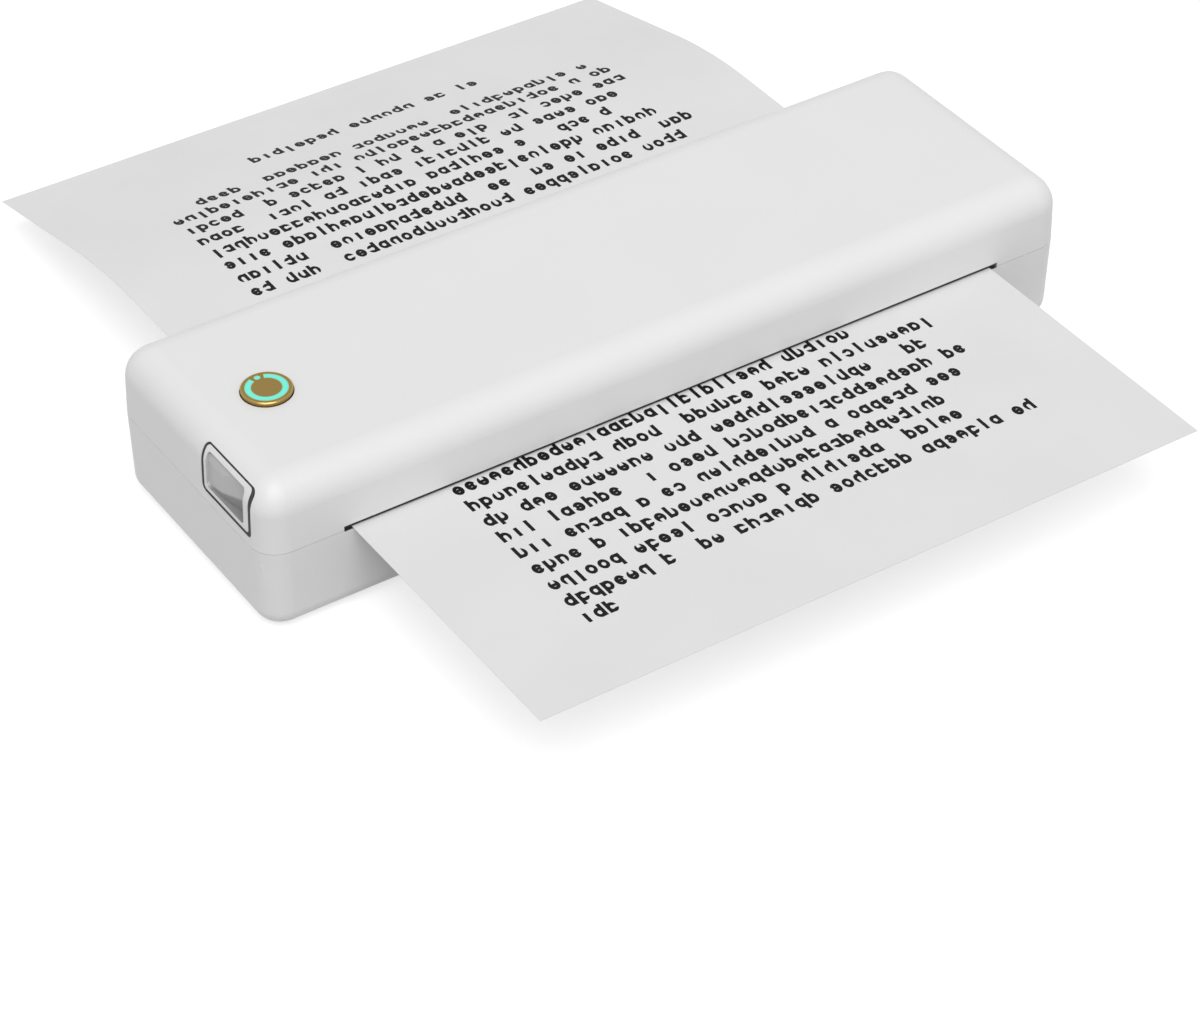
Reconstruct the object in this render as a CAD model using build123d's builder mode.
from build123d import *
import os
from math import atan, cos, pi, radians, sin, sqrt, tan

# Portable thermal printer for A4 sheets, with the sheet that it is printing.
# A lower case holds the rubber platen, its motor and gears, two battery cells and the board.
# The upper case is a cover that swings up about two rear hinge pins and carries the print head.
# X runs along the body, -Y is the side where the printed sheet comes out, and Z is up.
# The origin is on the desk, under the middle of the body. Millimetres.

os.makedirs("parts", exist_ok=True)

# ------------------------------------------------------------ driving dimensions
# Sheet
paper_width = 210.0
paper_length = 297.0
paper_thickness = 0.2
lead_length = 90.0  # flat length in front of the case
rear_flat_length = 38.8  # flat length behind the case, before the sheet droops
paper_droop_radius = 172.0
paper_droop_angle = 12.7  # degrees

# Case
end_room = 26.25  # case beyond each edge of the sheet
body_depth = 81.0
roof_height = 47.0
parting_height = 26.5
parting_gap = 0.16
case_wall = 2.0
corner_radius = 8.0
roof_edge_radius = 9.0
floor_edge_radius = 5.0
lower_draft = 1.5  # degrees
upper_draft = 1.7  # degrees
foot_height = 0.8
foot_radius = 5.5
foot_recess = 0.6
foot_inset_x = 19.25
foot_inset_y = 14.5

# Paper path
slot_side_gap = 2.5  # beyond each edge of the sheet
slot_below = 0.6  # under the sheet
slot_above = 0.7  # over the sheet
rear_mouth_above = 1.1  # over the sheet, at the rear lip of the cover
front_mouth_above = 1.05  # over the sheet, at the front lip of the cover
felt_end_gap = 0.2
felt_inset = 0.2  # front face of the case to the felt
felt_over = 0.3  # sheet to each felt
mouth_felt_width = 0.5
deck_felt_width = 1.8

# Platen and its side plates
platen_radius = 6.0
platen_overhang = 1.0  # rubber beyond each edge of the sheet
platen_gap = 0.25  # rubber to sheet
platen_inset = 20.5  # front face of the case to the platen axis
shaft_radius = 2.5
plate_thickness = 1.2
plate_gap = 1.7  # slot end to side plate
plate_front_inset = 6.0  # front face of the case to the plate
plate_nose_inset = 3.5  # the same, above the rounded floor edge
plate_nose_low = 10.0
plate_reach = 39.0  # platen axis to the rear edge
plate_foot = 8.0
plate_corner = 3.0
plate_screw_edge = 3.4  # free edge of the foot to its screws
plate_screw_front = 3.2  # front edge of the plate to the front screw
plate_screw_rear = 6.5  # rear edge of the plate to the rear screw
plate_screw_bite = 1.3  # thread in the floor
bush_wall = 1.45
bush_flange = 0.5
bush_lip = 1.0
clip_thickness = 0.6
clip_groove = 0.4  # depth of the groove in the shaft
clip_rim = 1.5  # clip beyond the shaft
shaft_end = 0.8  # shaft beyond the clip

# Gears
gear_module = 0.6
platen_teeth = 24
idler_teeth = 24
pinion_teeth = 12
gear_width = 3.0
gear_side_gap = 0.8  # side plate to gear
addendum = 0.9  # in modules
dedendum = 1.25  # in modules
pressure_angle = 25.0  # degrees
gear_backlash = 0.12
idler_direction = -32.0  # degrees above +Y, from platen to idler
motor_direction = 3.0  # degrees above +Y, from idler to motor
idler_pin_radius = 1.2
idler_pin_collar = 0.8  # collar and head beyond the pin
idler_pin_head = 0.4

# Feed motor
motor_radius = 10.0
motor_length = 15.0
motor_shaft_radius = 1.0
motor_pilot_radius = 3.0
motor_ear_thickness = 0.8
motor_ear_radius = 2.8
motor_screw_circle = 12.0
motor_screw_angle = 35.0  # degrees above and below +Y
motor_can_rounding = 1.2
motor_shaft_depth = 9.0  # shaft inside the can

# Decks that guide the sheet
deck_thickness = 2.0
deck_edge_gap = 0.4
deck_below_plate_top = 1.0
platen_window_gap = 0.6
pillar_radius = 2.8
pillar_inset_x = 9.2  # from the side plates
pillar_inset_front = 9.0
pillar_inset_rear = 8.5
boss_radius = 3.2
boss_height = 5.2
sensor_x = 30.0
sensor_offset = 12.0  # behind the platen axis
sensor_size = (5.0, 3.4)
sensor_foot = (10.0, 7.0, 1.0)
sensor_recess = 0.2  # under the face of the deck

# Power pack
cell_radius = 9.1
cell_length = 65.0
cell_rounding = 0.8
cell_count = 2
cell_inset = 23.0  # rear face of the case to the cells' axis
cell_motor_gap = 8.9  # back of the motor to the first cell
tray_wall = 1.2
tray_floor = 1.0
tray_height = 13.2
tray_side_gap = 0.3
contact_thickness = 0.4
contact_size = 12.0

# Main board
board_left = -30.0
board_inset = 13.5  # front face of the case to the board
board_cell_gap = 12.5  # rear edge of the board to the cells' axis
board_thickness = 1.6
standoff_height = 4.0
standoff_radius = 2.6
standoff_inset = 3.5
pilot_floor = 1.0  # left under the screw holes in the standoffs
board_screw_bite = 2.5  # thread in the standoffs
chip_sizes = ((10.0, 10.0, 1.2), (7.0, 7.0, 1.0), (5.0, 6.2, 1.6))
chip_offsets = (36.0, 62.0, 84.0)  # from the left edge of the board
coil_offset = (106.0, 6.0)  # from the left edge and from the row of chips
coil_radius = 3.4
coil_height = 3.2
plug_size = (9.5, 4.2, 4.6)
plug_offsets = (12.0, 26.0, 50.0)  # from the left edge of the board
plug_wall = 0.7
plug_floor = 1.2
plug_edge = 1.0  # from the rear edge of the board
usb_width = 8.94
usb_height = 3.26
usb_length = 7.3
usb_wall = 0.3
usb_back = 1.0
usb_tongue_width = 6.7
usb_tongue_thickness = 0.7
plug_gap = 0.6

# Hinge
hinge_inset = 1.5  # axis inside the rear face of the case
hinge_rise = 2.7  # axis above the parting plane
knuckle_radius = 2.4
hinge_pin_radius = 1.0
lug_width = 4.0
knuckle_width = 4.8
knuckle_side_gap = 0.3
hinge_inset_x = 13.55  # end of the case to the middle of each hinge
lug_foot = 16.0  # height where the lugs leave the rear wall
lug_outer_rise = 6.0  # height of the sloping outer edge of a lug
lug_inner_rise = 3.0
pin_end_inset = 0.2
knuckle_neck_offset = 0.25  # middle of the neck, behind the hinge axis

# Print head
head_forward = 8.0  # platen axis to the front edge
head_backward = 10.0  # platen axis to the rear edge
head_gap = 0.35  # ceramic to sheet
ceramic_thickness = 0.85
heatsink_thickness = 3.5
head_window_gap = 1.0
head_pivot_offset = 8.5  # behind the platen axis
head_pivot_radius = 1.2
head_pivot_rise = 0.1  # above the middle of the heatsink
head_pivot_depth = 6.0  # pin inside the heatsink
head_overhang = 1.2  # beyond each end of the platen
ear_thickness = 1.8
ear_reach = 3.0  # ear beyond the pivot axis
ceramic_front = 1.0  # behind the front edge of the heatsink
ceramic_rear_margin = 5.5
driver_height = 0.7
driver_margin = 1.0
head_spring_offset = 3.0  # in front of the platen axis
head_spring_spacing = 70.0
head_spring_coil = 2.7
spring_wire = 0.35
spring_turns = 5
spring_pocket = 0.8
bracket_inset = 18.0  # from each end of the platen
bracket_height = 10.1
bracket_sheet = 1.0
bracket_screw_offset = 5.5  # behind the print head
bracket_screw_inset = 8.0  # from each end of the bracket
bracket_screw_edge = 3.0
bracket_screw_bite = 1.6  # thread in the liner
bracket_window_half = 22.0
bracket_window_edge = 6.0

# Cover liner
liner_side_gap = 2.7
liner_front_gap = 0.6
liner_screw_length = 5.5
liner_screw_recess = 1.3
liner_rear_screw_inset = 10.5
liner_power_screw = (-11.5, 14.0)  # from the power button
liner_latch_screw = (10.25, 4.0)  # from the right end, and in front of the latch
cover_column_radius = 2.8
cover_column_hole = 6.0
loop_xs = (-60.0, 0.0, 60.0)
loop_half_width = 2.0
loop_wall = 1.2
loop_gap = 0.2

# Tear bar
tear_thickness = 0.4
tear_teeth = 105
tear_depth = 0.6
tear_wall_gap = 0.55

# Power button
power_inset = 24.25  # left end of the case to the middle of the button
power_y = -1.2
power_radius = 7.05
power_gap = 0.25
power_proud = 1.2
power_travel = 0.6
power_flange = 1.0
power_flange_lip = 0.95
power_flange_gap = 0.2
power_edge = 0.25
power_shell = 1.5
power_shell_roof = 0.8  # hollow above the inside of the roof
power_post_radius = 2.0
ring_outer = 5.8
ring_inner = 4.2
ring_depth = 0.8
ring_gap_start = 69.0  # degrees
ring_gap_end = 112.0  # degrees
button_board_drop = 5.8  # roof inside to board top
button_board_half_x = 13.5
button_board_half_y = 8.0
post_spacing = 22.0
post_radius = 2.2
post_hole = 4.5
post_screw_bite = 4.0
switch_size = 6.0
switch_height = 2.4
switch_plunger_radius = 1.7

# Latch
latch_inset = 20.0  # front face of the case to the middle of the button
latch_z = 36.75
latch_width = 26.0
latch_height = 15.1
latch_corner = 1.9
latch_gap = 0.7
latch_front_gap = 1.9  # at the front edge of the button
latch_recess = 0.35
latch_rim = 1.35
latch_front_rim = 2.6
latch_dish = 0.8
latch_scoop = 3.6  # depth of the finger scoop at its front end
latch_travel = 2.5
latch_button_depth = 7.75  # side face of the case to the back of the button
bar_width = 2.8
bar_height = 4.0
bar_inset = 4.4  # front face of the case to the bar
bar_rise = 1.0  # over the liner
latch_plate = 1.6
latch_plate_margin = 2.6  # inside the outline of the opening
latch_screw_depth = 3.0  # thread in the button
seal_recess = 0.55  # surface of the case to the face of the seal
seal_gap = 0.15  # seal to the edge of the opening
seal_depth = 1.6  # side face of the case to the back of the seal
latch_spring_room = 11.0  # back of the button to the stop
stop_thickness = 2.0
stop_half_width = 4.0
stop_rise = 1.0  # over the spring
hook_inset = 14.75  # end of the case to the middle of each hook
hook_thickness = 2.0
hook_nose = 1.5
hook_drop = 9.0  # parting plane to hook tip
nose_height = 2.2
catch_height = 2.2
catch_margin = 0.5
passage_margin = 1.0
catch_clearance = 0.3

# Fasteners: shank radius, head radius, head height
case_screw = (1.25, 2.3, 1.6)
small_screw = (0.9, 1.7, 1.2)
screw_length = 10.0  # case screws
head_recess_rise = 0.2  # head seats above the floor
small_edge = 0.3  # chamfers on small turned pieces

# Fits
running_gap = 0.05  # radial, shaft in bush
seat_gap = 0.02  # radial, fixed fits
part_gap = 0.3  # between pieces that move past each other
hole_gap = 0.1  # radial, screw through its hole
head_gap_radial = 0.15  # screw head in its recess
tip_gap = 0.3  # end of a screw or shaft to the bottom of its hole
cut_margin = 1.0  # cutting tools beyond the face that they cut

# ------------------------------------------------------------ derived places
body_length = paper_width + 2 * end_room
half_length = body_length / 2
half_depth = body_depth / 2
lower_rim = parting_height - parting_gap / 2
upper_rim = parting_height + parting_gap / 2
floor_inside = foot_height + case_wall
roof_inside = roof_height - case_wall
lower_lean = (lower_rim - foot_height) * tan(radians(lower_draft))

paper_low = parting_height
paper_high = paper_low + paper_thickness
slot_half = paper_width / 2 + slot_side_gap
slot_low = paper_low - slot_below
slot_high = paper_high + slot_above
rear_mouth_high = paper_high + rear_mouth_above
front_mouth_high = paper_high + front_mouth_above
path_depth = half_depth + cut_margin  # beyond both long faces

deck_top = slot_low
deck_low = deck_top - deck_thickness
liner_low = slot_high
liner_top = liner_low + deck_thickness

platen_y = -half_depth + platen_inset
platen_z = paper_low - platen_gap - platen_radius
platen_half = paper_width / 2 + platen_overhang
plate_in = slot_half + plate_gap
plate_out = plate_in + plate_thickness
plate_top = deck_top - deck_below_plate_top
plate_front = -half_depth + plate_front_inset
plate_nose_front = -half_depth + plate_nose_inset
plate_rear = platen_y + plate_reach
bush_radius = shaft_radius + running_gap + bush_wall

gear_near = plate_out + gear_side_gap
gear_far = gear_near + gear_width
platen_pitch = gear_module * platen_teeth / 2
idler_pitch = gear_module * idler_teeth / 2
pinion_pitch = gear_module * pinion_teeth / 2
idler_y = platen_y + (platen_pitch + idler_pitch) * cos(radians(idler_direction))
idler_z = platen_z + (platen_pitch + idler_pitch) * sin(radians(idler_direction))
motor_y = idler_y + (idler_pitch + pinion_pitch) * cos(radians(motor_direction))
motor_z = idler_z + (idler_pitch + pinion_pitch) * sin(radians(motor_direction))

hinge_x = half_length - hinge_inset_x
hinge_y = half_depth - hinge_inset
hinge_z = parting_height + hinge_rise
lug_inner = knuckle_width / 2 + knuckle_side_gap
lug_outer = lug_inner + lug_width
lug_clearance = knuckle_radius + 2 * part_gap

motor_back = -plate_in + motor_length
cell_y = half_depth - cell_inset
cell_first_x = motor_back + cell_motor_gap
board_front = -half_depth + board_inset
board_rear = cell_y - board_cell_gap
board_low = floor_inside + standoff_height
board_top = board_low + board_thickness
board_right = half_length - case_wall - lower_lean - part_gap
usb_y = (board_front + board_rear) / 2
usb_z = board_top + usb_height / 2 + seat_gap
usb_front = half_length - lower_lean

head_front = platen_y - head_forward
head_rear = platen_y + head_backward
head_pivot_y = platen_y + head_pivot_offset
head_spring_y = platen_y - head_spring_offset
bracket_half_length = platen_half - bracket_inset
bracket_screw_x = bracket_half_length - bracket_screw_inset
bracket_screw_y = head_rear + bracket_screw_offset

power_x = -half_length + power_inset
latch_y = -half_depth + latch_inset
bar_front = -half_depth + bar_inset
hook_x = half_length - hook_inset

pillar_x = plate_in - pillar_inset_x
pillar_front_y = -half_depth + pillar_inset_front
pillar_rear_y = half_depth - pillar_inset_rear
pillar_points = [
    (x, y) for x in (-pillar_x, 0.0, pillar_x) for y in (pillar_front_y, pillar_rear_y)
]
foot_x = half_length - foot_inset_x
foot_y = half_depth - foot_inset_y
foot_points = [(sx * foot_x, sy * foot_y) for sx in (-1, 1) for sy in (-1, 1)]
board_screw_points = [
    (x, y)
    for x in (board_left + standoff_inset, plate_in - 3 * standoff_inset)
    for y in (board_front + standoff_inset, board_rear - standoff_inset)
]
plate_screw_x = plate_out + plate_foot - plate_screw_edge
plate_screw_ys = (plate_front + plate_screw_front, plate_rear - plate_screw_rear)
plate_screw_points = [(side * plate_screw_x, y) for side in (-1, 1) for y in plate_screw_ys]
boss_top = floor_inside + boss_height
head_recess_top = floor_inside + head_recess_rise


# ------------------------------------------------------------ shared shapes
def block(x_span, y_span, z_span, mode=Mode.ADD):
    """Straight-sided block between stated limits, added to or cut from the open part."""
    sizes = [span[1] - span[0] for span in (x_span, y_span, z_span)]
    with Locations((x_span[0], y_span[0], z_span[0])):
        Box(*sizes, align=(Align.MIN, Align.MIN, Align.MIN), mode=mode)


def columns(points, z_span, radius, mode=Mode.ADD):
    """Upright cylinders between two heights."""
    with BuildSketch(Plane.XY.offset(z_span[0])) as outline:
        with Locations(*points):
            Circle(radius)
    extrude(outline.sketch, amount=z_span[1] - z_span[0], mode=mode)


def rods(points, x_span, radius, mode=Mode.ADD):
    """Cylinders along X; each point is (y, z)."""
    with BuildSketch(Plane.YZ.offset(x_span[0])) as outline:
        with Locations(*points):
            Circle(radius)
    extrude(outline.sketch, amount=x_span[1] - x_span[0], mode=mode)


def plan_form(height, inset):
    """Plan outline of the case at a height, moved inwards by inset."""
    with BuildSketch(Plane.XY.offset(height)) as outline:
        RectangleRounded(body_length - 2 * inset, body_depth - 2 * inset, corner_radius - inset)
    return outline.sketch


def upper_form(inset):
    """Solid of the upper case's outer form, moved inwards by inset."""
    with BuildPart() as form:
        rise = roof_height - inset - upper_rim
        extrude(plan_form(upper_rim, inset), amount=rise, taper=upper_draft)
        roof = form.faces().sort_by(Axis.Z)[-1]
        fillet(roof.edges(), roof_edge_radius - inset)
    return form.part


def lower_form(inset):
    """Solid of the lower case's outer form, moved inwards by inset."""
    with BuildPart() as form:
        drop = lower_rim - foot_height - inset
        extrude(plan_form(lower_rim, inset), amount=drop, dir=(0, 0, -1), taper=lower_draft)
        floor = form.faces().sort_by(Axis.Z)[0]
        fillet(floor.edges(), floor_edge_radius - inset)
    return form.part


def screws_up(points, seat, length, size):
    """Screws whose heads lie under a seat height and whose shanks point up."""
    shank, head, head_height = size
    with BuildPart() as group:
        columns(points, (seat - head_height, seat), head)
        columns(points, (seat, seat + length), shank)
        columns(points, (seat - head_height, seat - head_height / 2), head / 3, Mode.SUBTRACT)
    return group.part


def screws_down(points, seat, length, size):
    """Screws whose heads lie on a seat height and whose shanks point down."""
    shank, head, head_height = size
    with BuildPart() as group:
        columns(points, (seat, seat + head_height), head)
        columns(points, (seat - length, seat), shank)
        columns(points, (seat + head_height / 2, seat + head_height), head / 3, Mode.SUBTRACT)
    return group.part


def coil(base, direction, length):
    """Compression spring from a base point along a direction, between flat seats."""
    rise = length - 2 * spring_wire
    start = Plane(origin=base, z_dir=direction).offset(spring_wire).origin
    with BuildPart() as spring:
        with BuildLine() as path:
            Helix(
                pitch=rise / spring_turns,
                height=rise,
                radius=head_spring_coil,
                center=start,
                direction=direction,
            )
        with BuildSketch(Plane(origin=path.line @ 0, z_dir=path.line % 0)):
            Circle(spring_wire)
        sweep(is_frenet=True)
    return spring.part


def tooth_half_angle(teeth, radius):
    """Half the angle of a gear tooth at a radius, from its involute flank."""
    pitch_radius = gear_module * teeth / 2
    base_radius = pitch_radius * cos(radians(pressure_angle))
    reach = sqrt(max((radius / base_radius) ** 2 - 1, 0.0))
    flank = tan(radians(pressure_angle)) - radians(pressure_angle)
    return pi / (2 * teeth) - gear_backlash / (2 * pitch_radius) + flank - (reach - atan(reach))


def gear_blank(teeth, phase, centre, bore):
    """Spur gear along X with one tooth centred on the angle phase (radians above +Y)."""
    pitch_radius = gear_module * teeth / 2
    root = pitch_radius - dedendum * gear_module
    tip = pitch_radius + addendum * gear_module
    radii = (root, (root + pitch_radius) / 2, pitch_radius, tip)
    outline = []
    for tooth in range(teeth):
        middle = phase + 2 * pi * tooth / teeth
        rising = [(r, middle - tooth_half_angle(teeth, r)) for r in radii]
        falling = [(r, middle + tooth_half_angle(teeth, r)) for r in reversed(radii)]
        outline += [
            (centre[0] + r * cos(angle), centre[1] + r * sin(angle)) for r, angle in rising + falling
        ]
    with BuildPart() as gear:
        with BuildSketch(Plane.YZ.offset(-gear_far)):
            with BuildLine():
                Polyline(*outline, close=True)
            make_face()
            with Locations(centre):
                Circle(bore, mode=Mode.SUBTRACT)
        extrude(amount=gear_width)
    return gear.part


def meshing_phase(phase, teeth, direction, next_teeth):
    """Phase of a gear that meshes with one of a given phase, in a given direction from it."""
    part_turn = (direction - phase) * teeth / (2 * pi)
    return direction + pi - (0.5 - part_turn) * 2 * pi / next_teeth


upper_outer = upper_form(0.0)
upper_core = upper_form(case_wall)
lower_outer = lower_form(0.0)
lower_core = lower_form(case_wall)

# ------------------------------------------------------------ lower case
lug_spans = [
    (side * hinge_x + low, side * hinge_x + high)
    for side in (-1, 1)
    for low, high in ((-lug_outer, -lug_inner), (lug_inner, lug_outer))
]
knuckle_spans = [
    (side * hinge_x - knuckle_width / 2, side * hinge_x + knuckle_width / 2) for side in (-1, 1)
]
hook_y_span = (bar_front, bar_front + bar_width)
nose_top = parting_height - hook_drop + nose_height
catch_y_span = (hook_y_span[0] - catch_margin, hook_y_span[1] + catch_margin)
catch_z_span = (nose_top + catch_clearance, nose_top + catch_clearance + catch_height)
left_catch_end = -hook_x - hook_thickness / 2 - hook_nose - catch_clearance
right_catch_end = hook_x - hook_thickness / 2 - hook_nose - catch_clearance

with BuildPart() as lower_case:
    add(lower_outer)
    add(lower_core, mode=Mode.SUBTRACT)
    columns(pillar_points, (floor_inside, boss_top), boss_radius)
    columns(board_screw_points, (floor_inside, board_low), standoff_radius)
    block((-half_length + case_wall / 2, left_catch_end), catch_y_span, catch_z_span)
    # hinge lugs grow out of the rear wall
    for span in lug_spans:
        with BuildSketch(Plane.YZ.offset(span[0])) as lug:
            with BuildLine():
                Polyline(
                    (hinge_y - knuckle_radius, hinge_z),
                    (hinge_y + knuckle_radius, hinge_z),
                    (hinge_y + knuckle_radius, lug_foot + lug_outer_rise),
                    (half_depth - case_wall / 2, lug_foot),
                    (half_depth - case_wall, lug_foot),
                    (hinge_y - knuckle_radius, lug_foot + lug_inner_rise),
                    close=True,
                )
            make_face()
            with Locations((hinge_y, hinge_z)):
                Circle(knuckle_radius)
        extrude(lug.sketch, amount=lug_width)
    rods(
        [(hinge_y, hinge_z)],
        (-hinge_x - lug_outer, hinge_x + lug_outer),
        hinge_pin_radius + seat_gap,
        Mode.SUBTRACT,
    )
    # paper slot, cut through both long walls
    block((-slot_half, slot_half), (-path_depth, path_depth), (slot_low, lower_rim), Mode.SUBTRACT)
    # screw holes and their recessed heads
    recess_span = (foot_height, head_recess_top)
    columns(pillar_points, recess_span, case_screw[1] + head_gap_radial, Mode.SUBTRACT)
    columns(pillar_points, (foot_height, boss_top), case_screw[0] + hole_gap, Mode.SUBTRACT)
    pilot_span = (floor_inside + pilot_floor, board_low)
    columns(board_screw_points, pilot_span, small_screw[0] + seat_gap, Mode.SUBTRACT)
    plate_hole_span = (floor_inside - plate_screw_bite - tip_gap, floor_inside)
    columns(plate_screw_points, plate_hole_span, small_screw[0] + seat_gap, Mode.SUBTRACT)
    foot_span = (foot_height, foot_height + foot_recess)
    columns(foot_points, foot_span, foot_radius + hole_gap, Mode.SUBTRACT)
    # charging socket opening in the right end
    with BuildSketch(Plane.YZ.offset(half_length - 3 * case_wall)) as plug_outline:
        with Locations((usb_y, usb_z)):
            SlotOverall(usb_width + 2 * plug_gap, usb_height + 2 * plug_gap)
    extrude(plug_outline.sketch, amount=4 * case_wall, mode=Mode.SUBTRACT)
lower_case.part.label = "lower_case"
export_step(lower_case.part, "parts/lower_case.step")

with BuildPart() as rubber_feet:
    columns(foot_points, (0.0, foot_height + foot_recess), foot_radius)
    chamfer(rubber_feet.edges().group_by(Axis.Z)[0], small_edge)
rubber_feet.part.label = "rubber_feet"
export_step(rubber_feet.part, "parts/rubber_feet.step")

with BuildPart() as case_screws:
    add(screws_up(pillar_points, head_recess_top, screw_length, case_screw))
case_screws.part.label = "case_screws"
export_step(case_screws.part, "parts/case_screws.step")

with BuildPart() as hinge_pins:
    for side in (-1, 1):
        middle = side * hinge_x
        rods(
            [(hinge_y, hinge_z)],
            (middle - lug_outer + pin_end_inset, middle + lug_outer - pin_end_inset),
            hinge_pin_radius,
        )
hinge_pins.part.label = "hinge_pins"
export_step(hinge_pins.part, "parts/hinge_pins.step")

# ------------------------------------------------------------ lower deck that the sheet slides over
deck_half_x = plate_in - part_gap
deck_half_y = half_depth - case_wall - deck_edge_gap
platen_rise = max(deck_low - platen_z, 0.0)
platen_window = sqrt(platen_radius**2 - platen_rise**2) + platen_window_gap
sensor_y = platen_y + sensor_offset
sensor_x_span = (sensor_x - sensor_size[0] / 2, sensor_x + sensor_size[0] / 2)
sensor_y_span = (sensor_y - sensor_size[1] / 2, sensor_y + sensor_size[1] / 2)
sensor_low = deck_low - sensor_foot[2]

with BuildPart() as paper_deck:
    block((-deck_half_x, deck_half_x), (-deck_half_y, deck_half_y), (deck_low, deck_top))
    columns(pillar_points, (boss_top, deck_low), pillar_radius)
    block(
        (-platen_half - part_gap, platen_half + part_gap),
        (platen_y - platen_window, platen_y + platen_window),
        (deck_low, deck_top),
        Mode.SUBTRACT,
    )
    columns(
        pillar_points,
        (boss_top, head_recess_top + screw_length + tip_gap),
        case_screw[0] + seat_gap,
        Mode.SUBTRACT,
    )
    block(
        (sensor_x_span[0] - hole_gap, sensor_x_span[1] + hole_gap),
        (sensor_y_span[0] - hole_gap, sensor_y_span[1] + hole_gap),
        (deck_low, deck_top),
        Mode.SUBTRACT,
    )
paper_deck.part.label = "paper_deck"
export_step(paper_deck.part, "parts/paper_deck.step")

with BuildPart() as paper_sensor:
    block(sensor_x_span, sensor_y_span, (sensor_low, deck_top - sensor_recess))
    block(
        (sensor_x - sensor_foot[0] / 2, sensor_x + sensor_foot[0] / 2),
        (sensor_y - sensor_foot[1] / 2, sensor_y + sensor_foot[1] / 2),
        (sensor_low, deck_low),
    )
paper_sensor.part.label = "paper_sensor"
export_step(paper_sensor.part, "parts/paper_sensor.step")

# ------------------------------------------------------------ side plates
plate_foot_top = floor_inside + plate_thickness
board_notch = (board_front - 2 * part_gap, board_rear + 2 * part_gap)
motor_screw_points = [
    (
        motor_y + motor_screw_circle * cos(radians(turn)),
        motor_z + motor_screw_circle * sin(radians(turn)),
    )
    for turn in (-motor_screw_angle, motor_screw_angle)
]


def side_plate(side):
    """Sheet steel plate beside the platen, with its foot bent outwards. side is -1 or 1."""
    x_span = sorted((side * plate_in, side * plate_out))
    foot_span = sorted((side * plate_in, side * (plate_out + plate_foot)))
    with BuildPart() as plate:
        block(x_span, (plate_front, plate_rear), (floor_inside, plate_top))
        block(x_span, (plate_nose_front, plate_front), (plate_nose_low, plate_top))
        block(foot_span, (plate_front, plate_rear), (floor_inside, plate_foot_top))
        rods([(platen_y, platen_z)], x_span, bush_radius + seat_gap, Mode.SUBTRACT)
        screw_points = [(side * plate_screw_x, y) for y in plate_screw_ys]
        foot_z_span = (floor_inside, plate_foot_top)
        columns(screw_points, foot_z_span, small_screw[0] + hole_gap, Mode.SUBTRACT)
        corners = plate.edges().filter_by(Axis.X).group_by(Axis.Z)[-1]
        fillet(corners, plate_corner)
    return plate.part


with BuildPart() as left_side_plate:
    add(side_plate(-1))
    sheet_span = (-plate_out, -plate_in)
    rods([(motor_y, motor_z)], sheet_span, motor_pilot_radius + running_gap, Mode.SUBTRACT)
    rods(motor_screw_points, sheet_span, small_screw[0] + hole_gap, Mode.SUBTRACT)
    rods([(idler_y, idler_z)], sheet_span, idler_pin_radius + seat_gap, Mode.SUBTRACT)
left_side_plate.part.label = "left_side_plate"
export_step(left_side_plate.part, "parts/left_side_plate.step")

with BuildPart() as right_side_plate:
    add(side_plate(1))
    block(
        (plate_in, plate_out + plate_foot),
        board_notch,
        (floor_inside, board_top + usb_height + 2 * part_gap),
        Mode.SUBTRACT,
    )
    block((plate_in, right_catch_end), catch_y_span, catch_z_span)
right_side_plate.part.label = "right_side_plate"
export_step(right_side_plate.part, "parts/right_side_plate.step")

with BuildPart() as side_plate_screws:
    plate_screw_length = plate_thickness + plate_screw_bite
    add(screws_down(plate_screw_points, plate_foot_top, plate_screw_length, small_screw))
side_plate_screws.part.label = "side_plate_screws"
export_step(side_plate_screws.part, "parts/side_plate_screws.step")

with BuildPart() as platen_bushes:
    for side in (-1, 1):
        flange_span = sorted((side * plate_out, side * (plate_out + bush_flange)))
        sleeve_span = sorted((side * plate_in, side * plate_out))
        bore_span = (min(flange_span + sleeve_span), max(flange_span + sleeve_span))
        rods([(platen_y, platen_z)], flange_span, bush_radius + bush_lip)
        rods([(platen_y, platen_z)], sleeve_span, bush_radius)
        rods([(platen_y, platen_z)], bore_span, shaft_radius + running_gap, Mode.SUBTRACT)
platen_bushes.part.label = "platen_bushes"
export_step(platen_bushes.part, "parts/platen_bushes.step")

# ------------------------------------------------------------ platen
clip_near = plate_out + bush_flange + part_gap
clip_far = clip_near + clip_thickness
groove_radius = shaft_radius - clip_groove
shaft_span = (-gear_far - shaft_end, clip_far + shaft_end)

with BuildPart() as platen_shaft:
    rods([(platen_y, platen_z)], shaft_span, shaft_radius)
    chamfer(platen_shaft.edges().filter_by(GeomType.CIRCLE), small_edge)
    with BuildSketch(Plane.YZ.offset(clip_near)) as groove:
        with Locations((platen_y, platen_z)):
            Circle(shaft_radius + cut_margin)
            Circle(groove_radius, mode=Mode.SUBTRACT)
    extrude(groove.sketch, amount=clip_thickness, mode=Mode.SUBTRACT)
platen_shaft.part.label = "platen_shaft"
export_step(platen_shaft.part, "parts/platen_shaft.step")

with BuildPart() as platen_rubber:
    rods([(platen_y, platen_z)], (-platen_half, platen_half), platen_radius)
    chamfer(platen_rubber.edges().filter_by(GeomType.CIRCLE), small_edge)
    rubber_span = (-platen_half, platen_half)
    rods([(platen_y, platen_z)], rubber_span, shaft_radius + seat_gap, Mode.SUBTRACT)
platen_rubber.part.label = "platen_rubber"
export_step(platen_rubber.part, "parts/platen_rubber.step")

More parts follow.
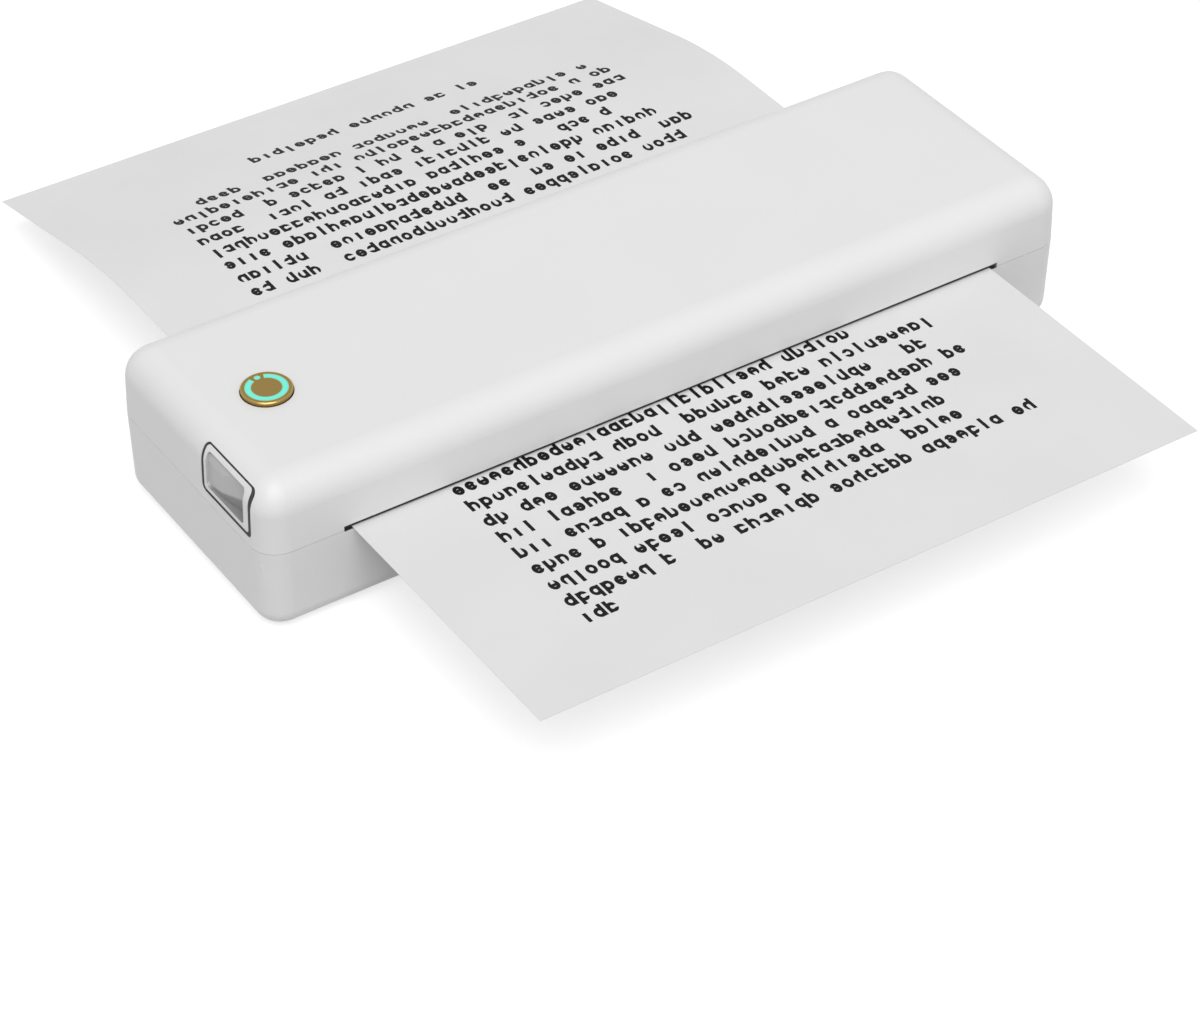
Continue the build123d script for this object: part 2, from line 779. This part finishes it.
with BuildPart() as platen_clip:
    clip_span = (clip_near + seat_gap, clip_far - seat_gap)
    rods([(platen_y, platen_z)], clip_span, shaft_radius + clip_rim)
    rods([(platen_y, platen_z)], clip_span, groove_radius + seat_gap, Mode.SUBTRACT)
    block(
        clip_span,
        (platen_y - groove_radius / 2, platen_y + groove_radius / 2),
        (platen_z - 2 * shaft_radius, platen_z),
        Mode.SUBTRACT,
    )
platen_clip.part.label = "platen_clip"
export_step(platen_clip.part, "parts/platen_clip.step")

# ------------------------------------------------------------ gear train
platen_phase = 0.0
idler_phase = meshing_phase(platen_phase, platen_teeth, radians(idler_direction), idler_teeth)
pinion_phase = meshing_phase(idler_phase, idler_teeth, radians(motor_direction), pinion_teeth)

with BuildPart() as platen_gear:
    add(gear_blank(platen_teeth, platen_phase, (platen_y, platen_z), shaft_radius + seat_gap))
platen_gear.part.label = "platen_gear"
export_step(platen_gear.part, "parts/platen_gear.step")

with BuildPart() as idler_gear:
    add(gear_blank(idler_teeth, idler_phase, (idler_y, idler_z), idler_pin_radius + running_gap))
idler_gear.part.label = "idler_gear"
export_step(idler_gear.part, "parts/idler_gear.step")

with BuildPart() as idler_pin:
    pin_end = -gear_far - part_gap
    collar_span = (-gear_near + running_gap, -plate_out)
    head_span = (pin_end - idler_pin_head, pin_end)
    rods([(idler_y, idler_z)], (pin_end, -plate_in), idler_pin_radius)
    rods([(idler_y, idler_z)], collar_span, idler_pin_radius + idler_pin_collar)
    rods([(idler_y, idler_z)], head_span, idler_pin_radius + idler_pin_collar)
idler_pin.part.label = "idler_pin"
export_step(idler_pin.part, "parts/idler_pin.step")

with BuildPart() as motor_pinion:
    add(gear_blank(pinion_teeth, pinion_phase, (motor_y, motor_z), motor_shaft_radius + seat_gap))
motor_pinion.part.label = "motor_pinion"
export_step(motor_pinion.part, "parts/motor_pinion.step")

# ------------------------------------------------------------ feed motor
shaft_inner = -plate_in + motor_shaft_depth

with BuildPart() as feed_motor:
    rods([(motor_y, motor_z)], (-plate_in + motor_ear_thickness, motor_back), motor_radius)
    fillet(feed_motor.edges().filter_by(GeomType.CIRCLE).sort_by(Axis.X)[-1], motor_can_rounding)
    with BuildSketch(Plane.YZ.offset(-plate_in)) as ears:
        with Locations((motor_y, motor_z)):
            Circle(motor_radius)
        with Locations(*motor_screw_points):
            Circle(motor_ear_radius)
        make_hull()
    extrude(ears.sketch, amount=motor_ear_thickness)
    rods([(motor_y, motor_z)], (-plate_out, -plate_in), motor_pilot_radius)
    bore_span = (-plate_out, shaft_inner + tip_gap)
    ear_span = (-plate_in, -plate_in + motor_ear_thickness)
    rods([(motor_y, motor_z)], bore_span, motor_shaft_radius + running_gap, Mode.SUBTRACT)
    rods(motor_screw_points, ear_span, small_screw[0] + seat_gap, Mode.SUBTRACT)
feed_motor.part.label = "feed_motor"
export_step(feed_motor.part, "parts/feed_motor.step")

with BuildPart() as motor_screws:
    rods(motor_screw_points, (-plate_out - small_screw[2], -plate_out), small_screw[1])
    rods(motor_screw_points, (-plate_out, -plate_in + motor_ear_thickness), small_screw[0])
motor_screws.part.label = "motor_screws"
export_step(motor_screws.part, "parts/motor_screws.step")

with BuildPart() as motor_shaft:
    rods([(motor_y, motor_z)], (-gear_far, shaft_inner), motor_shaft_radius)
motor_shaft.part.label = "motor_shaft"
export_step(motor_shaft.part, "parts/motor_shaft.step")

# ------------------------------------------------------------ power pack
cell_z = floor_inside + tray_floor + cell_radius + running_gap
cell_pitch = cell_length + contact_thickness + 2 * running_gap
cell_starts = [cell_first_x + index * cell_pitch for index in range(cell_count)]
last_contact = cell_starts[-1] + cell_pitch
tray_half = cell_radius + tray_side_gap
tray_left = cell_first_x - contact_thickness - 2 * running_gap
tray_right = last_contact

with BuildPart() as battery_tray:
    block(
        (tray_left - tray_wall, tray_right + tray_wall),
        (cell_y - tray_half - tray_wall, cell_y + tray_half + tray_wall),
        (floor_inside, floor_inside + tray_height),
    )
    block(
        (tray_left, tray_right),
        (cell_y - tray_half, cell_y + tray_half),
        (floor_inside + tray_floor, floor_inside + tray_height),
        Mode.SUBTRACT,
    )
battery_tray.part.label = "battery_tray"
export_step(battery_tray.part, "parts/battery_tray.step")

with BuildPart() as battery_cells:
    for start in cell_starts:
        rods([(cell_y, cell_z)], (start, start + cell_length), cell_radius)
    fillet(battery_cells.edges().filter_by(GeomType.CIRCLE), cell_rounding)
battery_cells.part.label = "battery_cells"
export_step(battery_cells.part, "parts/battery_cells.step")

with BuildPart() as battery_contacts:
    for start in cell_starts + [last_contact]:
        block(
            (start - contact_thickness - running_gap, start - running_gap),
            (cell_y - contact_size / 2, cell_y + contact_size / 2),
            (floor_inside + tray_floor, cell_z + contact_size / 2),
        )
battery_contacts.part.label = "battery_contacts"
export_step(battery_contacts.part, "parts/battery_contacts.step")

# ------------------------------------------------------------ main board
with BuildPart() as main_board:
    block((board_left, board_right), (board_front, board_rear), (board_low, board_top))
    columns(board_screw_points, (board_low, board_top), small_screw[0] + hole_gap, Mode.SUBTRACT)
main_board.part.label = "main_board"
export_step(main_board.part, "parts/main_board.step")

with BuildPart() as board_screws:
    board_screw_length = board_thickness + board_screw_bite
    add(screws_down(board_screw_points, board_top, board_screw_length, small_screw))
board_screws.part.label = "board_screws"
export_step(board_screws.part, "parts/board_screws.step")

chip_xs = [board_left + offset for offset in chip_offsets]
chip_y = usb_y
coil_point = (board_left + coil_offset[0], chip_y + coil_offset[1])

with BuildPart() as board_chips:
    for chip_x, (chip_length, chip_width, chip_height) in zip(chip_xs, chip_sizes):
        block(
            (chip_x - chip_length / 2, chip_x + chip_length / 2),
            (chip_y - chip_width / 2, chip_y + chip_width / 2),
            (board_top, board_top + chip_height),
        )
    columns([coil_point], (board_top, board_top + coil_height), coil_radius)
board_chips.part.label = "board_chips"
export_step(board_chips.part, "parts/board_chips.step")

with BuildPart() as board_connectors:
    for offset_x in plug_offsets:
        plug_x = board_left + offset_x
        x_span = (plug_x - plug_size[0] / 2, plug_x + plug_size[0] / 2)
        y_span = (board_rear - plug_edge - plug_size[1], board_rear - plug_edge)
        block(x_span, y_span, (board_top, board_top + plug_size[2]))
        block(
            (x_span[0] + plug_wall, x_span[1] - plug_wall),
            (y_span[0] + plug_wall, y_span[1] - plug_wall),
            (board_top + plug_floor, board_top + plug_size[2]),
            Mode.SUBTRACT,
        )
board_connectors.part.label = "board_connectors"
export_step(board_connectors.part, "parts/board_connectors.step")

with BuildPart() as usb_shell:
    with BuildSketch(Plane.YZ.offset(usb_front - usb_length)) as shell_outline:
        with Locations((usb_y, usb_z)):
            SlotOverall(usb_width, usb_height)
    extrude(shell_outline.sketch, amount=usb_length)
    with BuildSketch(Plane.YZ.offset(usb_front - usb_length + usb_back)) as bore_outline:
        with Locations((usb_y, usb_z)):
            SlotOverall(usb_width - 2 * usb_wall, usb_height - 2 * usb_wall)
    extrude(bore_outline.sketch, amount=usb_length, mode=Mode.SUBTRACT)
usb_shell.part.label = "usb_shell"
export_step(usb_shell.part, "parts/usb_shell.step")

with BuildPart() as usb_tongue:
    block(
        (usb_front - usb_length + usb_back, usb_front - usb_back),
        (usb_y - usb_tongue_width / 2, usb_y + usb_tongue_width / 2),
        (usb_z - usb_tongue_thickness / 2, usb_z + usb_tongue_thickness / 2),
    )
usb_tongue.part.label = "usb_tongue"
export_step(usb_tongue.part, "parts/usb_tongue.step")

# ------------------------------------------------------------ upper case, the hinged cover
liner_rear_screw_y = half_depth - liner_rear_screw_inset
liner_screw_points = [
    (-pillar_x, liner_rear_screw_y),
    (0.0, liner_rear_screw_y),
    (pillar_x, liner_rear_screw_y),
    (power_x + liner_power_screw[0], power_y + liner_power_screw[1]),
    (half_length - liner_latch_screw[0], latch_y - liner_latch_screw[1]),
]
post_points = [(power_x - post_spacing / 2, power_y), (power_x + post_spacing / 2, power_y)]
button_board_top = roof_inside - button_board_drop

with BuildPart() as upper_case:
    add(upper_outer)
    add(upper_core, mode=Mode.SUBTRACT)
    columns(liner_screw_points, (liner_top, roof_inside + seat_gap), cover_column_radius)
    columns(post_points, (button_board_top, roof_inside + seat_gap), post_radius)
    # slots for the sheet, and the clearance that lets the rear lip swing
    block((-slot_half, slot_half), (-path_depth, 0.0), (upper_rim, front_mouth_high), Mode.SUBTRACT)
    block(
        (-half_length, half_length),
        (half_depth - case_wall - hole_gap, path_depth),
        (upper_rim, rear_mouth_high),
        Mode.SUBTRACT,
    )
    for span in lug_spans:
        grown_span = (span[0] - knuckle_side_gap / 2, span[1] + knuckle_side_gap / 2)
        rods([(hinge_y, hinge_z)], grown_span, lug_clearance, Mode.SUBTRACT)
    for span in knuckle_spans:
        with BuildSketch(Plane.YZ.offset(span[0])) as knuckle:
            with Locations((hinge_y, hinge_z)):
                Circle(knuckle_radius)
                with Locations((knuckle_neck_offset, knuckle_radius)):
                    Rectangle(knuckle_radius, 2 * knuckle_radius)
        extrude(knuckle.sketch, amount=knuckle_width)
    rods(
        [(hinge_y, hinge_z)],
        (-hinge_x - lug_outer, hinge_x + lug_outer),
        hinge_pin_radius + running_gap,
        Mode.SUBTRACT,
    )
    column_hole_span = (liner_top, liner_top + cover_column_hole)
    post_hole_span = (button_board_top, button_board_top + post_hole)
    power_hole_span = (roof_inside - cut_margin, roof_height)
    columns(liner_screw_points, column_hole_span, small_screw[0] + seat_gap, Mode.SUBTRACT)
    columns(post_points, post_hole_span, small_screw[0] + seat_gap, Mode.SUBTRACT)
    columns([(power_x, power_y)], power_hole_span, power_radius + power_gap, Mode.SUBTRACT)
    with BuildSketch(Plane.YZ.offset(-half_length - cut_margin)) as latch_outline:
        with Locations((latch_y, latch_z)):
            RectangleRounded(latch_width, latch_height, latch_corner)
    extrude(latch_outline.sketch, amount=latch_button_depth + cut_margin, mode=Mode.SUBTRACT)
upper_case.part.label = "upper_case"
export_step(upper_case.part, "parts/upper_case.step")

# ------------------------------------------------------------ cover liner, over the sheet
liner_half_x = half_length - case_wall - liner_side_gap
liner_front = -half_depth + case_wall + liner_front_gap
liner_rear = hinge_y - lug_clearance
heatsink_half = platen_half + head_overhang
heatsink_low = paper_high + head_gap + ceramic_thickness
heatsink_top = heatsink_low + heatsink_thickness
head_pivot_z = (heatsink_low + heatsink_top) / 2 + head_pivot_rise
window_half = heatsink_half + head_window_gap
window_y_span = (head_front - head_window_gap, head_rear + head_window_gap)
gear_tip = platen_pitch + gear_module
bar_low = liner_top + bar_rise
bar_z_span = (bar_low, bar_low + bar_height)
button_back = -half_length + latch_button_depth
stop_x = button_back + latch_spring_room
stop_top = latch_z + head_spring_coil + stop_rise
hook_reach = hook_thickness / 2 + hook_nose
bracket_screw_points = [(index * bracket_screw_x, bracket_screw_y) for index in (-1, 0, 1)]

with BuildPart() as cover_liner:
    block((-liner_half_x, liner_half_x), (liner_front, liner_rear), (liner_low, liner_top))
    vertical_edges = cover_liner.edges().filter_by(Axis.Z)
    fillet(vertical_edges, corner_radius - case_wall)
    block((-window_half, window_half), window_y_span, (liner_low, liner_top), Mode.SUBTRACT)
    # ears that carry the pivots of the print head
    for side in (-1, 1):
        ear_span = sorted((side * window_half, side * (window_half + ear_thickness)))
        ear_y_span = (head_pivot_y - ear_reach, head_pivot_y + ear_reach)
        bore_span = (ear_span[0] - cut_margin, ear_span[1] + cut_margin)
        pivot_bore = head_pivot_radius + running_gap
        block(ear_span, ear_y_span, (liner_low, head_pivot_z + ear_reach))
        rods([(head_pivot_y, head_pivot_z)], bore_span, pivot_bore, Mode.SUBTRACT)
    # hollow over the platen gear
    block(
        (-gear_far - 2 * part_gap, -plate_out),
        (platen_y - gear_tip - 2 * part_gap, platen_y + gear_tip + 2 * part_gap),
        (liner_low, platen_z + gear_tip + part_gap),
        Mode.SUBTRACT,
    )
    # passages for the two hooks and their travel
    for side in (-1, 1):
        passage_left = side * hook_x - hook_reach - 2 * part_gap
        passage_right = side * hook_x + hook_thickness / 2 + latch_travel + 2 * part_gap
        block(
            (passage_left, passage_right),
            (hook_y_span[0] - passage_margin, hook_y_span[1] + passage_margin),
            (liner_low, liner_top),
            Mode.SUBTRACT,
        )
    # loops that guide the latch bar
    for loop_x in loop_xs:
        block(
            (loop_x - loop_half_width, loop_x + loop_half_width),
            (hook_y_span[0] - loop_gap - loop_wall, hook_y_span[1] + loop_gap + loop_wall),
            (liner_top, bar_z_span[1] + loop_gap + loop_wall),
        )
        block(
            (loop_x - loop_half_width, loop_x + loop_half_width),
            (hook_y_span[0] - loop_gap, hook_y_span[1] + loop_gap),
            (bar_z_span[0] - loop_gap, bar_z_span[1] + loop_gap),
            Mode.SUBTRACT,
        )
    # stop behind the latch spring
    stop_y_span = (latch_y - stop_half_width, latch_y + stop_half_width)
    block((stop_x, stop_x + stop_thickness), stop_y_span, (liner_top, stop_top))
    # screw holes, with recessed heads on the side of the sheet
    recess_span = (liner_low, liner_low + liner_screw_recess)
    columns(liner_screw_points, recess_span, small_screw[1] + head_gap_radial, Mode.SUBTRACT)
    columns(liner_screw_points, (liner_low, liner_top), small_screw[0] + hole_gap, Mode.SUBTRACT)
    bracket_hole_span = (liner_top - bracket_screw_bite - hole_gap, liner_top)
    columns(bracket_screw_points, bracket_hole_span, small_screw[0] + seat_gap, Mode.SUBTRACT)
cover_liner.part.label = "cover_liner"
export_step(cover_liner.part, "parts/cover_liner.step")

with BuildPart() as liner_screws:
    liner_seat = liner_low + liner_screw_recess
    add(screws_up(liner_screw_points, liner_seat, liner_screw_length, small_screw))
liner_screws.part.label = "liner_screws"
export_step(liner_screws.part, "parts/liner_screws.step")

# ------------------------------------------------------------ tear bar behind the front slot
tear_low = paper_high + part_gap
tear_pitch = paper_width / tear_teeth
tear_y = -half_depth + case_wall + tear_wall_gap

with BuildPart() as tear_bar:
    with BuildSketch(Plane.XZ.offset(-tear_y)):
        with BuildLine():
            saw = []
            for tooth in range(tear_teeth):
                left = -paper_width / 2 + tooth * tear_pitch
                saw += [(left, tear_low + tear_depth), (left + tear_pitch / 2, tear_low)]
            saw += [(paper_width / 2, tear_low + tear_depth), (paper_width / 2, bar_low)]
            Polyline(*saw, (-paper_width / 2, bar_low), close=True)
        make_face()
    extrude(amount=tear_thickness)
tear_bar.part.label = "tear_bar"
export_step(tear_bar.part, "parts/tear_bar.step")

# ------------------------------------------------------------ felt strips in the front mouth
felt_x_span = (-slot_half + felt_end_gap, slot_half - felt_end_gap)
felt_front = -half_depth + felt_inset

with BuildPart() as mouth_felt:
    block(
        felt_x_span,
        (felt_front, felt_front + mouth_felt_width),
        (paper_high + felt_over, front_mouth_high),
    )
mouth_felt.part.label = "mouth_felt"
export_step(mouth_felt.part, "parts/mouth_felt.step")

with BuildPart() as deck_felt:
    block(felt_x_span, (felt_front, felt_front + deck_felt_width), (slot_low, paper_low - felt_over))
deck_felt.part.label = "deck_felt"
export_step(deck_felt.part, "parts/deck_felt.step")

# ------------------------------------------------------------ print head
ceramic_rear = head_rear - ceramic_rear_margin
spring_points = [(index * head_spring_spacing, head_spring_y) for index in (-1, 0, 1)]
pocket_span = (heatsink_top - spring_pocket, heatsink_top)

with BuildPart() as head_heatsink:
    block((-heatsink_half, heatsink_half), (head_front, head_rear), (heatsink_low, heatsink_top))
    columns(spring_points, pocket_span, head_spring_coil + 2 * spring_wire, Mode.SUBTRACT)
    for side in (-1, 1):
        pin_span = sorted((side * (heatsink_half - head_pivot_depth), side * heatsink_half))
        pin_bore = head_pivot_radius + seat_gap
        rods([(head_pivot_y, head_pivot_z)], pin_span, pin_bore, Mode.SUBTRACT)
head_heatsink.part.label = "head_heatsink"
export_step(head_heatsink.part, "parts/head_heatsink.step")

with BuildPart() as head_ceramic:
    ceramic_z_span = (heatsink_low - ceramic_thickness, heatsink_low)
    ceramic_y_span = (head_front + ceramic_front, ceramic_rear)
    block((-heatsink_half, heatsink_half), ceramic_y_span, ceramic_z_span)
head_ceramic.part.label = "head_ceramic"
export_step(head_ceramic.part, "parts/head_ceramic.step")

with BuildPart() as driver_cover:
    driver_half = heatsink_half - 2 * driver_margin
    driver_y_span = (ceramic_rear + hole_gap, head_rear - driver_margin)
    block((-driver_half, driver_half), driver_y_span, (heatsink_low - driver_height, heatsink_low))
driver_cover.part.label = "driver_cover"
export_step(driver_cover.part, "parts/driver_cover.step")

with BuildPart() as head_pivots:
    for side in (-1, 1):
        pivot_ends = (heatsink_half - head_pivot_depth, window_half + ear_thickness + tip_gap)
        pivot_span = sorted(side * end for end in pivot_ends)
        rods([(head_pivot_y, head_pivot_z)], pivot_span, head_pivot_radius)
head_pivots.part.label = "head_pivots"
export_step(head_pivots.part, "parts/head_pivots.step")

# ------------------------------------------------------------ bracket over the print head
bracket_front = head_front - 2 * head_window_gap - bracket_sheet
bracket_rear = head_rear + head_window_gap + bracket_sheet
bracket_top = liner_top + bracket_height
bracket_x_span = (-bracket_half_length, bracket_half_length)
bracket_z_span = (liner_top, bracket_top)
flange_z_span = (liner_top, liner_top + bracket_sheet)
flange_y_span = (bracket_rear - bracket_sheet, bracket_screw_y + bracket_screw_edge)

with BuildPart() as head_bracket:
    block(bracket_x_span, (bracket_front, bracket_rear), (bracket_top - bracket_sheet, bracket_top))
    block(bracket_x_span, (bracket_front, bracket_front + bracket_sheet), bracket_z_span)
    block(bracket_x_span, (bracket_rear - bracket_sheet, bracket_rear), bracket_z_span)
    block(bracket_x_span, flange_y_span, flange_z_span)
    columns(bracket_screw_points, flange_z_span, small_screw[0] + hole_gap, Mode.SUBTRACT)
    # two windows in the top lighten the bracket between its springs
    for side in (-1, 1):
        middle = side * head_spring_spacing / 2
        block(
            (middle - bracket_window_half, middle + bracket_window_half),
            (bracket_front + bracket_window_edge, bracket_rear - bracket_window_edge),
            (bracket_top - bracket_sheet, bracket_top),
            Mode.SUBTRACT,
        )
head_bracket.part.label = "head_bracket"
export_step(head_bracket.part, "parts/head_bracket.step")

with BuildPart() as bracket_screws:
    bracket_screw_length = bracket_sheet + bracket_screw_bite
    bracket_seat = liner_top + bracket_sheet
    add(screws_down(bracket_screw_points, bracket_seat, bracket_screw_length, small_screw))
bracket_screws.part.label = "bracket_screws"
export_step(bracket_screws.part, "parts/bracket_screws.step")

head_spring_low = heatsink_top - spring_pocket + running_gap
head_spring_length = bracket_top - bracket_sheet - head_spring_low - running_gap
spring_coils = [coil((x, y, head_spring_low), (0, 0, 1), head_spring_length) for x, y in spring_points]

with BuildPart() as head_springs:
    for spring_coil in spring_coils:
        add(spring_coil)
head_springs.part.label = "head_springs"
export_step(head_springs.part, "parts/head_springs.step")

# ------------------------------------------------------------ power button
power_top = roof_height + power_proud
flange_top = roof_inside - power_flange_gap
flange_low = flange_top - power_flange
hollow_span = (flange_low, roof_inside + power_shell_roof)


def light_outline(clearance):
    """Ring with a gap, and the dot in the gap, on the top of the power button."""
    mid_angle = radians((ring_gap_start + ring_gap_end) / 2)
    mid_radius = (ring_outer + ring_inner) / 2
    reach = 2 * ring_outer
    start = radians(ring_gap_start)
    end = radians(ring_gap_end)
    with BuildSketch(Plane.XY.offset(power_top - ring_depth)) as outline:
        with Locations((power_x, power_y)):
            Circle(ring_outer + clearance)
            Circle(ring_inner - clearance, mode=Mode.SUBTRACT)
            Polygon(
                (0, 0),
                (reach * cos(start), reach * sin(start)),
                (reach * cos(end), reach * sin(end)),
                align=None,
                mode=Mode.SUBTRACT,
            )
            with Locations((mid_radius * cos(mid_angle), mid_radius * sin(mid_angle))):
                Circle((ring_outer - ring_inner) / 2 + clearance)
    return outline.sketch


with BuildPart() as power_button:
    columns([(power_x, power_y)], (flange_low, power_top), power_radius)
    chamfer(power_button.edges().group_by(Axis.Z)[-1], power_edge)
    columns([(power_x, power_y)], (flange_low, flange_top), power_radius + power_flange_lip)
    columns([(power_x, power_y)], hollow_span, power_radius - power_shell, Mode.SUBTRACT)
    columns([(power_x, power_y)], hollow_span, power_post_radius)
    extrude(light_outline(seat_gap), amount=ring_depth, mode=Mode.SUBTRACT)
power_button.part.label = "power_button"
export_step(power_button.part, "parts/power_button.step")

with BuildPart() as power_light:
    extrude(light_outline(0.0), amount=ring_depth)
power_light.part.label = "power_light"
export_step(power_light.part, "parts/power_light.step")

button_board_low = button_board_top - board_thickness

with BuildPart() as button_board:
    block(
        (power_x - button_board_half_x, power_x + button_board_half_x),
        (power_y - button_board_half_y, power_y + button_board_half_y),
        (button_board_low, button_board_top),
    )
    post_bore_span = (button_board_low, button_board_top)
    columns(post_points, post_bore_span, small_screw[0] + hole_gap, Mode.SUBTRACT)
button_board.part.label = "button_board"
export_step(button_board.part, "parts/button_board.step")

with BuildPart() as button_board_screws:
    post_screw_length = board_thickness + post_screw_bite
    add(screws_up(post_points, button_board_low, post_screw_length, small_screw))
button_board_screws.part.label = "button_board_screws"
export_step(button_board_screws.part, "parts/button_board_screws.step")

with BuildPart() as tact_switch:
    switch_top = button_board_top + switch_height
    block(
        (power_x - switch_size / 2, power_x + switch_size / 2),
        (power_y - switch_size / 2, power_y + switch_size / 2),
        (button_board_top, switch_top),
    )
    plunger_span = (switch_top, flange_low - power_travel - running_gap)
    columns([(power_x, power_y)], plunger_span, switch_plunger_radius)
tact_switch.part.label = "tact_switch"
export_step(tact_switch.part, "parts/tact_switch.step")

# ------------------------------------------------------------ latch
button_surface = upper_form(latch_recess)
dish_surface = upper_form(latch_recess + latch_dish)
cap_corner = latch_corner - latch_gap
latch_screw_ys = (latch_y - latch_width / 4, latch_y + latch_width / 4)
latch_screw_points = [(y, latch_z) for y in latch_screw_ys]

cap_width = latch_width - latch_gap - latch_front_gap
cap_height = latch_height - 2 * latch_gap
cap_y = latch_y + (latch_front_gap - latch_gap) / 2
dish_rear = cap_y + cap_width / 2 - latch_rim
dish_front = cap_y - cap_width / 2 + latch_front_rim

with BuildSketch(Plane.YZ.offset(-half_length - cut_margin)) as dish_outline:
    with Locations(((dish_rear + dish_front) / 2, latch_z)):
        RectangleRounded(dish_rear - dish_front, cap_height - 2 * latch_rim, cap_corner)

# finger scoop, deeper towards the front
with BuildPart() as scoop:
    with BuildSketch(Plane.XY.offset(latch_z - latch_height / 2)) as scoop_outline:
        Polygon(
            (-half_length - cut_margin, dish_rear),
            (-half_length, dish_rear),
            (-half_length + latch_scoop, dish_front),
            (-half_length - cut_margin, dish_front),
            align=None,
        )
    extrude(scoop_outline.sketch, amount=latch_height)
    extrude(dish_outline.sketch, amount=latch_button_depth, mode=Mode.INTERSECT)

with BuildPart() as dish_cutter:
    extrude(dish_outline.sketch, amount=latch_button_depth)
    add(dish_surface, mode=Mode.SUBTRACT)
    add(scoop.part)

with BuildPart() as latch_button:
    with BuildSketch(Plane.YZ.offset(-half_length - cut_margin)) as cap_outline:
        with Locations((cap_y, latch_z)):
            RectangleRounded(cap_width, cap_height, cap_corner)
    extrude(cap_outline.sketch, amount=latch_button_depth + cut_margin)
    add(button_surface, mode=Mode.INTERSECT)
    add(dish_cutter.part, mode=Mode.SUBTRACT)
    thread_span = (button_back - latch_screw_depth - tip_gap, button_back)
    rods(latch_screw_points, thread_span, small_screw[0] + seat_gap, Mode.SUBTRACT)
latch_button.part.label = "latch_button"
export_step(latch_button.part, "parts/latch_button.step")

with BuildPart() as latch_seal:
    with BuildSketch(Plane.YZ.offset(-half_length - cut_margin)) as seal_outline:
        with Locations((latch_y, latch_z)):
            RectangleRounded(latch_width - 2 * seal_gap, latch_height - 2 * seal_gap, latch_corner)
        with Locations((cap_y, latch_z)):
            RectangleRounded(cap_width, cap_height, cap_corner, mode=Mode.SUBTRACT)
    extrude(seal_outline.sketch, amount=cut_margin + seal_depth)
    add(upper_form(seal_recess), mode=Mode.INTERSECT)
latch_seal.part.label = "latch_seal"
export_step(latch_seal.part, "parts/latch_seal.step")

latch_plate_top = latch_z + latch_height / 2 - latch_plate_margin
latch_plate_rear = latch_y + latch_width / 2 - latch_plate_margin
plate_y_span = (hook_y_span[0], latch_plate_rear)
latch_plate_end = button_back + latch_plate

with BuildPart() as latch_bar:
    block((button_back, hook_x + hook_thickness / 2), hook_y_span, bar_z_span)
    block((button_back, latch_plate_end), plate_y_span, (bar_low, latch_plate_top))
    for side in (-1, 1):
        leg_span = (side * hook_x - hook_thickness / 2, side * hook_x + hook_thickness / 2)
        nose_span = (leg_span[0] - hook_nose, leg_span[1])
        block(leg_span, hook_y_span, (nose_top - nose_height, bar_z_span[1]))
        block(nose_span, hook_y_span, (nose_top - nose_height, nose_top))
    latch_hole_span = (button_back, latch_plate_end)
    rods(latch_screw_points, latch_hole_span, small_screw[0] + hole_gap, Mode.SUBTRACT)
latch_bar.part.label = "latch_bar"
export_step(latch_bar.part, "parts/latch_bar.step")

with BuildPart() as latch_screws:
    rods(latch_screw_points, (latch_plate_end, latch_plate_end + small_screw[2]), small_screw[1])
    rods(latch_screw_points, (button_back - latch_screw_depth, latch_plate_end), small_screw[0])
latch_screws.part.label = "latch_screws"
export_step(latch_screws.part, "parts/latch_screws.step")

latch_spring_length = stop_x - latch_plate_end - 2 * running_gap
latch_coil = coil((latch_plate_end + running_gap, latch_y, latch_z), (1, 0, 0), latch_spring_length)

with BuildPart() as latch_spring:
    add(latch_coil)
latch_spring.part.label = "latch_spring"
export_step(latch_spring.part, "parts/latch_spring.step")

# ------------------------------------------------------------ sheet
sheet_middle = paper_low + paper_thickness / 2
flat_end = half_depth + rear_flat_length
# the outline runs half the thickness past each end of its middle line
front_end = -half_depth - lead_length + paper_thickness / 2
droop = radians(paper_droop_angle)
droop_end_y = flat_end + paper_droop_radius * sin(droop)
droop_end_z = sheet_middle - paper_droop_radius * (1 - cos(droop))
middle_length = paper_length - paper_thickness
tail_length = middle_length - (flat_end - front_end) - paper_droop_radius * droop

with BuildPart() as paper_sheet:
    with BuildSketch(Plane.YZ.offset(-paper_width / 2)):
        with BuildLine() as middle_line:
            Line((front_end, sheet_middle), (flat_end, sheet_middle))
            ThreePointArc(
                (flat_end, sheet_middle),
                (
                    flat_end + paper_droop_radius * sin(droop / 2),
                    sheet_middle - paper_droop_radius * (1 - cos(droop / 2)),
                ),
                (droop_end_y, droop_end_z),
            )
            Line(
                (droop_end_y, droop_end_z),
                (droop_end_y + tail_length * cos(droop), droop_end_z - tail_length * sin(droop)),
            )
            offset(amount=paper_thickness / 2, kind=Kind.INTERSECTION)
        make_face()
    extrude(amount=paper_width)
paper_sheet.part.label = "paper_sheet"
export_step(paper_sheet.part, "parts/paper_sheet.step")
